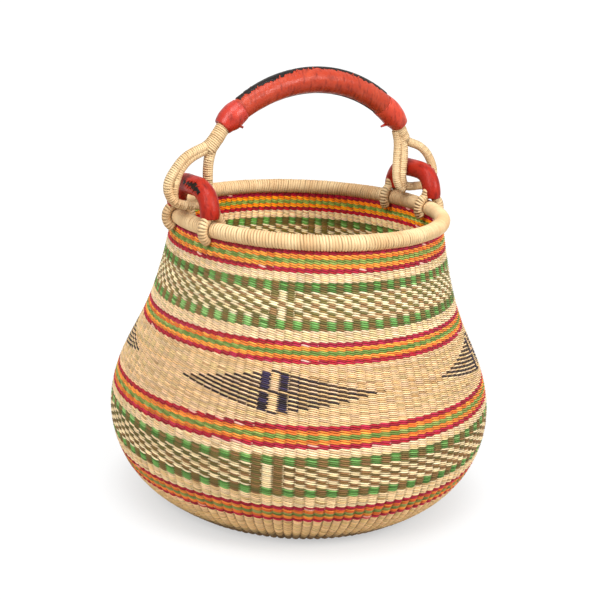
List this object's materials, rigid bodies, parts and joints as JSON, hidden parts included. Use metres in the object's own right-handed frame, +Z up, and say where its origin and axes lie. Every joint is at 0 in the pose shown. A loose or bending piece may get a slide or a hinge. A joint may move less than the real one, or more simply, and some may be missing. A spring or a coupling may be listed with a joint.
{
  "type": "woven market basket",
  "caption": "Round pot-shaped basket of twined straw with coloured bands, a rolled rim, leather-bound ears and a swinging leather-gripped handle.",
  "frame": {"origin": "centre of the base's underside, on the surface the basket stands on", "axes": "+Z up; +X runs through the two ears, in the plane of the upright handle; +Y completes the right-handed frame"},
  "size_m": [0.3802, 0.3802, 0.427],
  "materials": {
    "straw_plain": "matte",
    "straw_stripes": "matte",
    "straw_checker": "matte",
    "straw_diamonds": "matte",
    "straw_wound": "matte",
    "leather_red": "satin",
    "leather_black": "satin"
  },
  "bodies": {
    "basket": {"base_weave": "straw_plain", "foot_band": "straw_plain", "stripe_lowest": "straw_stripes", "plain_lowest": "straw_plain", "checker_lower": "straw_checker", "plain_low": "straw_plain", "stripe_low": "straw_stripes", "diamond_band": "straw_diamonds", "stripe_high": "straw_stripes", "plain_high": "straw_plain", "checker_upper": "straw_checker", "plain_neck": "straw_plain", "stripe_top": "straw_stripes", "rim_roll": "straw_wound", "ear_sleeve_left": "leather_red", "ear_sleeve_right": "leather_red", "foot_strands_outer": "straw_wound", "foot_strands_inner": "straw_wound"},
    "handle": {"grip_sleeve": "leather_red", "grip_strip": "leather_black", "cuff_left": "leather_red", "cuff_right": "leather_red", "cuff_knots": "leather_red", "neck_left": "straw_wound", "neck_right": "straw_wound", "ring_left": "straw_wound", "ring_right": "straw_wound", "doubler_left": "straw_wound", "doubler_right": "straw_wound"}
  },
  "joints": [
    {"name": "handle_swing", "type": "hinge", "parent": "basket", "child": "handle", "pos_m": [0, 0, 0.303], "axis": [1, 0, 0], "range_deg": [-58, 58]}
  ]
}
